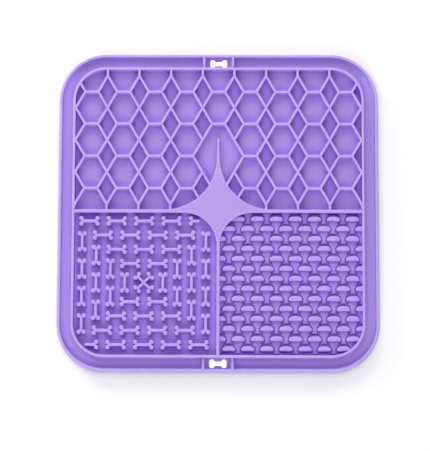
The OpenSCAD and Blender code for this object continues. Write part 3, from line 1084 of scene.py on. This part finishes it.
pen.arc(beside_x, -ROW_PITCH, math.degrees(bite_end - bite_start), NECK_BITE_STEPS)
pen.arc(corner_x, corner_y, 90 - math.degrees(bite_end), NECK_CORNER_STEPS)
pen.line(0, corner_y - NECK_CORNER_R)
neck = pen.fill("X")
body(NECK_TOP - NECK_DOME - LEVEL + SUNK)
rise(shoulder(NECK_SHOULDER, NECK_DOME_STEPS, height=NECK_DOME))
places = []
for row in range(NUB_ROWS):
    shift = 0.5 if row % 2 == 0 else 0
    y = FIRST_ROW_Y - (row - 1) * ROW_PITCH
    places += [(NUB_FIRST_X + (i + shift) * NUB_PITCH_X, y, 0) for i in range(NUBS_IN_ROW)]
necks = copies(neck, places)
keep_in_field(necks, LEVEL - 2 * SUNK, (1, 0, 0))
necks.name = necks.data.name = "necks"
finish_piece(necks, ["nub_necks"])
print("necks between nubs", round(2 * (beside_x - bite_r), 2), "mm wide at the waist")

# %% [markdown]
# ## Suction cups
#
# On the underside small suction cups grip the floor. Each is a disc whose upper side curves up into a
# neck, and whose lower side is hollowed out inside a narrow flat lip. It is shaped with the same steps,
# upwards on the top face and then upwards into the bottom face.

# %% One cup, copied in a square pattern

CUP_R = 6.5
CUP_NECK_R = 2.6
CUP_EDGE = 0.3
CUP_LIP_W = 0.6
CUP_NECK_H = 0.9
CUP_NECK_LEAN = 0.02
CUP_HOLLOW = [(1.5, -0.45), (1.6, -0.4), (1.4, -0.3), (0.8, -0.15)]
CUP_ROUND_STEPS = 28
CUP_SKIRT_STEPS = 6
CUPS = 6
pen = Pen("cups", CUP_R, 0, 0)
pen.arc(0, 0, 360, CUP_ROUND_STEPS)
cup = pen.fill()
body(CUP_EDGE)
skirt_h = UNDERSIDE - CUP_EDGE - CUP_NECK_H
rise(fillet(CUP_R - CUP_NECK_R, CUP_SKIRT_STEPS, height=skirt_h))
rise([(CUP_NECK_LEAN, CUP_NECK_H + DRAFT)])
pick(cup, "FACE", lambda middle, normal: middle.z < TOUCH and normal.z < 0)
rise([(CUP_LIP_W, 0)] + CUP_HOLLOW)
cup_pitch = 2 * FIELD_HALF / CUPS
spots = [(i - (CUPS - 1) / 2) * cup_pitch for i in range(CUPS)]
cups = copies(cup, [(x, y, 0) for x in spots for y in spots])
cups.name = cups.data.name = "cups"
finish_piece(cups, ["suction_cups"])

# %% [markdown]
# ## Camera
#
# The photograph looks down on the mat, leaning a few degrees back towards the reader, from rather more
# than a metre away. The camera's place was worked out from the edges of the rims.

# %% The camera

IMAGE_LONG_SIDE = 451
FOCAL_PIXELS = 1845.97
CAMERA_AWAY = 1144.88
LOOK_AT = Vector((-2.015, -8.806, 8.0))
TILT, YAW, ROLL = 7.4626, 0.3788, 0.1288
SENSOR = 36
bpy.ops.object.select_all(action="DESELECT")
turn = (
    Matrix.Rotation(math.radians(TILT), 3, "X")
    @ Matrix.Rotation(math.radians(YAW), 3, "Y")
    @ Matrix.Rotation(math.radians(ROLL), 3, "Z")
)
away = turn @ Vector((0, 0, CAMERA_AWAY))
bpy.ops.object.camera_add(location=(LOOK_AT + away) * MM, rotation=turn.to_euler())
camera = bpy.context.active_object
camera.data.sensor_width = SENSOR
camera.data.lens = FOCAL_PIXELS / IMAGE_LONG_SIDE * camera.data.sensor_width
bpy.context.scene.camera = camera
print("lens", round(camera.data.lens, 1), "mm")

# %% [markdown]
# ## Floor, backdrop and light
#
# The mat lies on a white table. The floor keeps the soft shadow, and a share of its white comes from
# Light Path, so that it reads as white to the camera without more light on the mat. Far from the mat
# that share grows to the whole, like a backdrop with a light of its own. Under the two holes a patch of
# painted light makes the table full white in steep views, over the mat's shadow, so the holes read pure
# white from above, as in the photograph, but not in low views under the mat's edge. The sizes of the
# floor, the backdrop and the lamps are in metres.

# %% The floor

WHITE = (1, 1, 1, 1)
FLOOR_COLOUR = (0.95, 0.95, 0.95, 1)
FLOOR_ROUGHNESS = 0.9
FLOOR_SPECULAR = 0.1
FLOOR_SIZE = 8
FLOOR_GLOW = 0.2
NEAR, FAR = 0.2, 1.2
# Painted light: under each hole a patch of the floor glows full white in steep views, over the mat's
# shadow.
HOLE_LIGHT_PATCH_X = 7.0
HOLE_LIGHT_PATCH_Y = 4.0
STEEP_VIEW = 0.2


def white_floor():
    """White paint that takes the shadow, with a glow that only straight and mirrored views see, and a
    patch of painted light under each hole.
    """
    material = bpy.data.materials.new("white_table")
    material.use_nodes = True
    nodes, links = material.node_tree.nodes, material.node_tree.links
    paint = nodes["Principled BSDF"]
    paint.inputs["Base Color"].default_value = FLOOR_COLOUR
    paint.inputs["Roughness"].default_value = FLOOR_ROUGHNESS
    paint.inputs["Specular IOR Level"].default_value = FLOOR_SPECULAR
    paint.inputs["Emission Color"].default_value = WHITE
    rays = nodes.new("ShaderNodeLightPath")
    seen = nodes.new("ShaderNodeMath")
    seen.operation = "MAXIMUM"
    place = nodes.new("ShaderNodeTexCoord")
    axes = nodes.new("ShaderNodeSeparateXYZ")
    distance = nodes.new("ShaderNodeVectorMath")
    distance.operation = "LENGTH"
    backdrop = nodes.new("ShaderNodeMapRange")
    backdrop.inputs["From Min"].default_value = NEAR
    backdrop.inputs["From Max"].default_value = FAR
    backdrop.inputs["To Min"].default_value = FLOOR_GLOW
    backdrop.inputs["To Max"].default_value = 1.0
    level = nodes.new("ShaderNodeMapRange")
    level.inputs["To Max"].default_value = 1.0
    facing = nodes.new("ShaderNodeLayerWeight")
    steep = nodes.new("ShaderNodeMath")
    steep.operation = "LESS_THAN"
    steep.inputs[1].default_value = STEEP_VIEW
    hole_light_seen = nodes.new("ShaderNodeMath")
    hole_light_seen.operation = "MULTIPLY"
    glow = nodes.new("ShaderNodeMath")
    glow.operation = "MULTIPLY"
    across = nodes.new("ShaderNodeMath")
    across.operation = "COMPARE"
    across.inputs[1].default_value = 0.0
    across.inputs[2].default_value = HOLE_LIGHT_PATCH_X * MM
    up = nodes.new("ShaderNodeMath")
    up.operation = "ABSOLUTE"
    beside = nodes.new("ShaderNodeMath")
    beside.operation = "COMPARE"
    beside.inputs[1].default_value = hole_y * MM
    beside.inputs[2].default_value = HOLE_LIGHT_PATCH_Y * MM
    # The patch of painted light under each hole, seen only in steep views.
    hole_light_patch = nodes.new("ShaderNodeMath")
    hole_light_patch.operation = "MULTIPLY"
    links.new(rays.outputs["Is Camera Ray"], seen.inputs[0])
    links.new(rays.outputs["Is Glossy Ray"], seen.inputs[1])
    links.new(place.outputs["Object"], axes.inputs["Vector"])
    links.new(axes.outputs["X"], across.inputs[0])
    links.new(axes.outputs["Y"], up.inputs[0])
    links.new(up.outputs[0], beside.inputs[0])
    links.new(across.outputs[0], hole_light_patch.inputs[0])
    links.new(beside.outputs[0], hole_light_patch.inputs[1])
    links.new(facing.outputs["Facing"], steep.inputs[0])
    links.new(hole_light_patch.outputs[0], hole_light_seen.inputs[0])
    links.new(steep.outputs[0], hole_light_seen.inputs[1])
    links.new(place.outputs["Object"], distance.inputs[0])
    links.new(distance.outputs["Value"], backdrop.inputs["Value"])
    links.new(backdrop.outputs["Result"], level.inputs["To Min"])
    links.new(hole_light_seen.outputs[0], level.inputs["Value"])
    links.new(seen.outputs[0], glow.inputs[0])
    links.new(level.outputs["Result"], glow.inputs[1])
    links.new(glow.outputs[0], paint.inputs["Emission Strength"])
    return material


bpy.ops.mesh.primitive_plane_add(size=FLOOR_SIZE)
floor = bpy.context.active_object
floor.name = "floor"
floor.data.materials.append(white_floor())

# %% World and lamps

WORLD_LEVEL = 0.03
LAMP_AWAY = 1.3
LAMP_SIZE = 0.55
LAMPS = (
    ("behind", 0, 34, 4.8),
    ("behind_left", 45, 15, 8.5),
    ("behind_left_high", 45, 42, 2.2),
    ("behind_right", -45, 17, 3.3),
    ("left", 90, 12, 2.3),
    ("front_low", 180, 21, 3.8),
    ("front", 180, 42, 5.8),
    ("overhead", 0, 78, 3.3),
)


def studio_world():
    """A faint white light from all sides, which is full white where the camera looks past the floor."""
    world = bpy.data.worlds.new("studio")
    bpy.context.scene.world = world
    world.use_nodes = True
    nodes, links = world.node_tree.nodes, world.node_tree.links
    sky = nodes["Background"]
    sky.inputs["Color"].default_value = WHITE
    rays = nodes.new("ShaderNodeLightPath")
    level = nodes.new("ShaderNodeMapRange")
    level.inputs["To Min"].default_value = WORLD_LEVEL
    level.inputs["To Max"].default_value = 1.0
    links.new(rays.outputs["Is Camera Ray"], level.inputs["Value"])
    links.new(level.outputs["Result"], sky.inputs["Strength"])


def softbox(name, azimuth, elevation, watts):
    """A square lamp that looks at the mat. Azimuth 0 is behind the mat, and 90 to its left."""
    a, e = math.radians(azimuth), math.radians(elevation)
    back = Vector((-math.sin(a) * math.cos(e), math.cos(a) * math.cos(e), math.sin(e)))
    bpy.ops.object.light_add(type="AREA", location=back * LAMP_AWAY)
    lamp = bpy.context.active_object
    lamp.name = name
    lamp.rotation_euler = back.to_track_quat("Z", "Y").to_euler()
    lamp.data.shape = "SQUARE"
    lamp.data.size = LAMP_SIZE
    lamp.data.energy = watts


studio_world()
for lamp_name, azimuth, elevation, watts in LAMPS:
    softbox(lamp_name, azimuth, elevation, watts)
print(len(LAMPS), "lamps")

# %% [markdown]
# ## Colour
#
# The view transform Standard shows each colour about as it is written, which suits a plain product
# picture.

# %% Colour
bpy.context.scene.view_settings.view_transform = "Standard"
